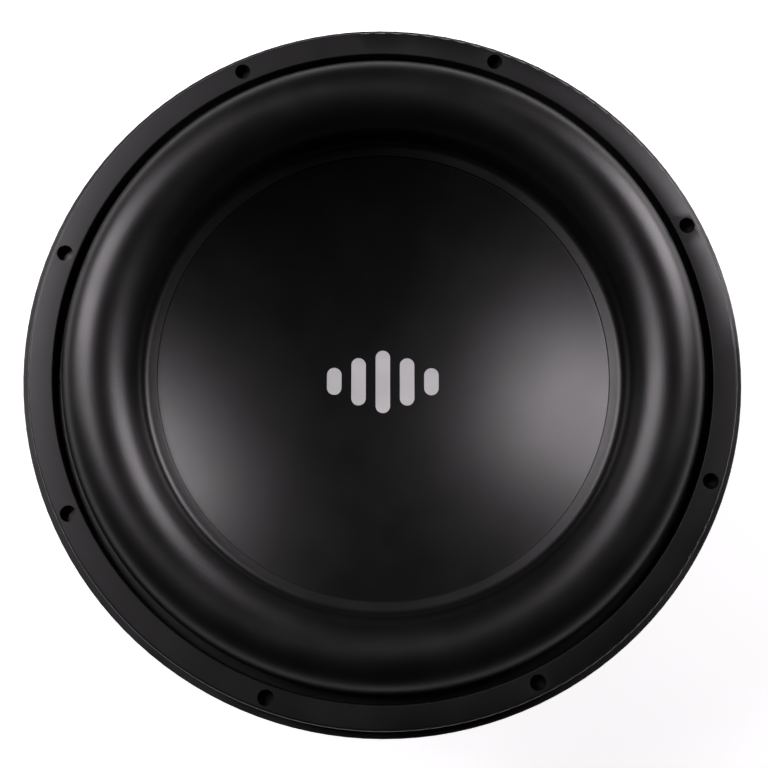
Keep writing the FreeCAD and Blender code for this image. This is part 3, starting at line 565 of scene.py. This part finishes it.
upper = [(lip_r, surround_low.z + lip_t)]
lip_end = Vector((roll_inner, surround_low.z + lip_foot_t))
lip_slope = (lip_end - Vector(upper[0])).normalized()
sweep, sweep_steps = 0.0035, 10
sweep_start, sweep_stop = lip_end - lip_slope * sweep, lip_end + Vector((0, sweep))
for k in range(sweep_steps + 1):
    t = k / sweep_steps
    spot = sweep_start * (1 - t) ** 2 + lip_end * 2 * t * (1 - t) + sweep_stop * t ** 2
    upper.append((spot.x, spot.y))
upper += roll_arch(0.0, landing_z, landing_z, 64)[1:]
under = [(lip_r, surround_low.z)] + roll_arch(roll_t, surround_low.z, flange_top, 48)
outline = upper + [(surround_high.x, landing_z), (surround_high.x, flange_top)] + list(reversed(under))
foam = finish_of("surround_foam_skin", (0.0028, 0.0028, 0.0029), 0.36, specular=0.47)
grain(foam, 0.0009, 0.00006, 0.34, 0.39, detail=6.0)
surround = lathe("surround_roll", outline, 384, foam)
flex_radially(surround, roll_outer, roll_inner)
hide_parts("surround")

# ---------------------------------------------------------------------------------------------
# Gasket ring: moulded in dense satin rubber, glued over the surround's outer lip, with eight
# holes for the mounting screws.
# ---------------------------------------------------------------------------------------------

gasket_rubber = finish_of("gasket_rubber", (0.004, 0.004, 0.0043), 0.43, specular=0.42)
grain(gasket_rubber, 0.001, 0.00002, 0.40, 0.46)
dress("gasket_ring", gasket_rubber, 52.0)

# ---------------------------------------------------------------------------------------------
# Push terminals, one set on each side of the basket: a fibre board, two tinned brass strips and
# a moulded housing, held by two screws. A red and a black button each slide in it on a spring.
# ---------------------------------------------------------------------------------------------

fibre_board = finish_of("fibre_board", (0.11, 0.055, 0.025), 0.6)
grain(fibre_board, 0.0012, 0.00003, 0.5, 0.7, uneven=0.3, stretch=(1.0, 1.0, 0.3))
red_plastic = finish_of("red_plastic", (0.45, 0.012, 0.012), 0.3)
grain(red_plastic, 0.001, 0.000006, 0.24, 0.38, uneven=0.06)
black_plastic = finish_of("black_plastic", (0.012, 0.012, 0.012), 0.3)
grain(black_plastic, 0.001, 0.000006, 0.24, 0.38)
spring_steel = finish_of("spring_steel", (0.55, 0.55, 0.55), 0.25, metallic=1.0)
grain(spring_steel, 0.0006, 0.000004, 0.2, 0.34)
dress("terminal_screws", black_zinc)
spring_turns, spring_wire_r = 4, 0.0003
for coil, outward in (("a", 1.0), ("b", -1.0)):
    dress("terminal_board_" + coil, fibre_board)
    dress("terminal_strips_" + coil, tinned_brass)
    dress("terminal_housing_" + coil, moulded_black)
    for pole, plastic in (("plus", red_plastic), ("minus", black_plastic)):
        button, spring_node = "button_" + pole + "_" + coil, "button_spring_" + pole + "_" + coil
        dress(button, plastic)
        low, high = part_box(spring_node)
        middle = (low + high) / 2
        length = high.y - low.y - 2 * spring_wire_r
        coil_r = (high.z - low.z) / 2 - spring_wire_r
        mesh = wound_wire(spring_turns, coil_r, length, spring_wire_r, 32, 10, spring_steel)
        mesh.transform(Matrix.Rotation(math.radians(-90.0 * outward), 4, "X"))
        board_y, button_y = (low.y, high.y) if outward > 0 else (high.y, low.y)
        mesh.transform(Matrix.Translation((middle.x, board_y + outward * spring_wire_r, middle.z)))
        spring = piece_of("spring_wire_" + pole + "_" + coil, mesh, spring_steel)
        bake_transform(spring)
        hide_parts(spring_node)

# ---------------------------------------------------------------------------------------------
# Tinsel leads: four braided copper leads, tinned, from the tabs of the terminals over the
# basket's wall to the pins on the voice coil. They are soldered at both ends.
# ---------------------------------------------------------------------------------------------

tinsel = finish_of("tinsel_braid", (0.62, 0.47, 0.34), 0.34, metallic=0.85)
grain(tinsel, 0.0006, 0.000006, 0.26, 0.44, uneven=0.25)
core_thread = finish_of("lead_core_thread", (0.12, 0.06, 0.03), 0.7)
grain(core_thread, 0.0006, 0.00002, 0.6, 0.8)
lead_r, strand_r, strands, braid_pitch = 0.0012, 0.00021, 8, 0.0085
lead_offset = 0.009
tab_x, tab_z, pin_x, pin_z = 0.11535, -0.0856, 0.04571, -0.0708
span = tab_x - pin_x
lead_route = (
    (tab_x, tab_z), (tab_x, tab_z + 0.011), (tab_x - 0.07 * span, tab_z + 0.020),
    (tab_x - 0.21 * span, pin_z + 0.009), (tab_x - 0.37 * span, pin_z + 0.0065),
    (tab_x - 0.52 * span, pin_z + 0.0025), (tab_x - 0.68 * span, pin_z + 0.0055),
    (tab_x - 0.83 * span, pin_z + 0.0045), (tab_x - 0.92 * span, pin_z + 0.001), (pin_x, pin_z),
)


def along(points, sides, radius_at, twist=0.0, offset=0.0, wave=0.0, phase=0.0):
    """A closed tube that follows points, or a strand that winds round them at an offset."""
    verts, faces = [], []
    travelled = 0.0
    side = Vector((0.0, 1.0, 0.0))
    for i, here in enumerate(points):
        ahead, behind = points[min(i + 1, len(points) - 1)], points[max(i - 1, 0)]
        forward = (ahead - behind).normalized()
        side = (side - forward * side.dot(forward)).normalized()
        up = forward.cross(side)
        turn = phase + twist * travelled
        out = side * math.cos(turn) + up * math.sin(turn)
        shift = offset + wave * math.sin(strands * turn + (math.pi / 2 if twist < 0 else 0.0))
        round_up = forward.cross(out)
        for k in range(sides):
            a = 2 * math.pi * k / sides
            outwards = out * (shift + radius_at * math.cos(a))
            verts.append(here + outwards + round_up * radius_at * math.sin(a))
        travelled += (ahead - here).length
    for i in range(len(points) - 1):
        for k in range(sides):
            n = (k + 1) % sides
            faces.append((i * sides + k, i * sides + n, (i + 1) * sides + n, (i + 1) * sides + k))
    faces.append(tuple(range(sides)))
    faces.append(tuple((len(points) - 1) * sides + k for k in range(sides)))
    return verts, faces


def smooth_route(route, y, turned):
    """Points read off one smooth open spline through the route's control points."""
    curve = bpy.data.curves.new("lead_route", "CURVE")
    curve.dimensions = "3D"
    spline = curve.splines.new("NURBS")
    spline.points.add(len(route) - 1)
    for spot, (x, z) in zip(spline.points, route):
        spot.co = (*(turned @ Vector((x, y, z))), 1.0)
    spline.order_u = 3
    spline.use_endpoint_u = True
    spline.resolution_u = 14
    holder = bpy.data.objects.new("lead_route", curve)
    bpy.context.scene.collection.objects.link(holder)
    built = holder.evaluated_get(bpy.context.evaluated_depsgraph_get())
    mesh = bpy.data.meshes.new_from_object(built)
    points = [v.co.copy() for v in mesh.vertices]
    bpy.data.objects.remove(holder)
    bpy.data.meshes.remove(mesh)
    return points


for coil, degrees in (("a", 90.0), ("b", 270.0)):
    turned = Matrix.Rotation(math.radians(degrees), 3, "Z")
    for pole, side in (("plus", 1.0), ("minus", -1.0)):
        node = "tinsel_lead_" + pole + "_" + coil
        points = smooth_route(lead_route, side * lead_offset, turned)
        all_verts, all_faces = [], []
        for hand in (1.0, -1.0):
            for s in range(strands):
                verts, faces = along(
                    points, 5, strand_r, twist=hand * 2 * math.pi / braid_pitch,
                    offset=lead_r - 1.6 * strand_r, wave=0.55 * strand_r, phase=2 * math.pi * s / strands)
                first = len(all_verts)
                all_verts += verts
                all_faces += [tuple(first + c for c in f) for f in faces]
        braid = solid("tinsel_braid_" + pole + "_" + coil, all_verts, all_faces, tinsel)
        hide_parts(node)
        verts, faces = along(points, 12, lead_r - 2.4 * strand_r)
        core = solid("lead_core_" + pole + "_" + coil, verts, faces, core_thread)
        still_end, moving_end = points[0].copy(), points[-1].copy()
        still_end.z = moving_end.z = 0.0
        for part in (braid, core):
            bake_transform(part)

# ---------------------------------------------------------------------------------------------
# Studio: a pale floor under the driver, two tall soft boxes left and right, and a camera that
# looks almost straight down the axis.
# ---------------------------------------------------------------------------------------------

face_centre = Vector((0.0, 0.0, gasket_high.z))
view_turn = 3.0
camera_place = Vector((-0.00057, -0.0098, 0.6922))
roll_of_view = Matrix.Rotation(math.radians(view_turn), 3, "Z")
tilt = Matrix.Rotation(math.radians(-9.36), 3, "X") @ Matrix.Rotation(math.radians(1.351), 3, "Y")
to_camera = tilt @ roll_of_view
camera_data = bpy.data.cameras.new("camera")
camera_data.sensor_width, camera_data.lens = 36.0, 59.6
camera = bpy.data.objects.new("camera", camera_data)
bpy.context.scene.collection.objects.link(camera)
from_camera = to_camera.transposed()
seat = Matrix.Translation(face_centre + from_camera @ camera_place)
camera.matrix_world = seat @ from_camera.to_4x4()
bpy.context.scene.camera = camera


def softbox(name, angle, elevation, distance, width, height, power):
    """An area lamp at an angle round the driver's axis, facing the driver."""
    turn, rise = math.radians(angle) - math.radians(view_turn), math.radians(elevation)
    level = math.cos(rise)
    spot = Vector((math.cos(turn) * level, math.sin(turn) * level, math.sin(rise))) * distance
    lamp_data = bpy.data.lights.new(name, "AREA")
    lamp_data.shape, lamp_data.size, lamp_data.size_y = "RECTANGLE", width, height
    lamp_data.energy = power
    lamp_data.color = (1.0, 0.935, 0.985)
    lamp = bpy.data.objects.new(name, lamp_data)
    bpy.context.scene.collection.objects.link(lamp)
    lamp.location = face_centre + spot
    lamp.rotation_mode = "QUATERNION"
    lamp.rotation_quaternion = (-spot).to_track_quat("-Z", "Y")


softbox("soft_box_left", 155.0, 43.0, 1.5, 0.6, 1.2, 20.5)
softbox("soft_box_right", 33.0, 26.0, 1.5, 0.6, 1.1, 20.5)

floor_mesh = bpy.data.meshes.new("floor")
half = 6.0
corners = [(-half, -half, 0), (half, -half, 0), (half, half, 0), (-half, half, 0)]
floor_mesh.from_pydata(corners, [], [(0, 1, 2, 3)])
floor_mesh.transform(Matrix.Translation((0, 0, cad_low.z)))
floor = bpy.data.objects.new("floor", floor_mesh)
bpy.context.scene.collection.objects.link(floor)
pale = finish_of("pale_floor", (0.86, 0.86, 0.86), 0.8)
pale_shader = pale.node_tree.nodes["Principled BSDF"]
pale_shader.inputs["Emission Color"].default_value = (1, 1, 1, 1)
lit_place = add(pale, "ShaderNodeTexCoord")
lit_reach = add(pale, "ShaderNodeVectorMath", operation="LENGTH")
lit_fade = add(pale, "ShaderNodeMapRange", From_Min=0.4, From_Max=1.3, To_Min=0.6, To_Max=0.3)
wire(pale, lit_place, "Object", lit_reach, "Vector")
wire(pale, lit_reach, "Value", lit_fade, "Value")
wire(pale, lit_fade, "Result", pale_shader, "Emission Strength")
floor_mesh.materials.append(pale)

world = bpy.data.worlds.new("studio")
world.use_nodes = True
bpy.context.scene.world = world
tree = world.node_tree
sky = tree.nodes["Background"]
direction = tree.nodes.new("ShaderNodeTexCoord")
parts = tree.nodes.new("ShaderNodeSeparateXYZ")
ramp = tree.nodes.new("ShaderNodeValToRGB")
height = tree.nodes.new("ShaderNodeMapRange")
height.inputs["From Min"].default_value = -1.0
tree.links.new(direction.outputs["Generated"], parts.inputs[0])
tree.links.new(parts.outputs["Z"], height.inputs["Value"])
tree.links.new(height.outputs["Result"], ramp.inputs["Fac"])
tree.links.new(ramp.outputs["Color"], sky.inputs["Color"])
horizon, overhead = ramp.color_ramp.elements
horizon.position, horizon.color = 0.5, (0.05, 0.05, 0.05, 1)
overhead.position, overhead.color = 0.56, (0.006, 0.006, 0.006, 1)
bpy.context.scene.view_settings.view_transform = "Standard"
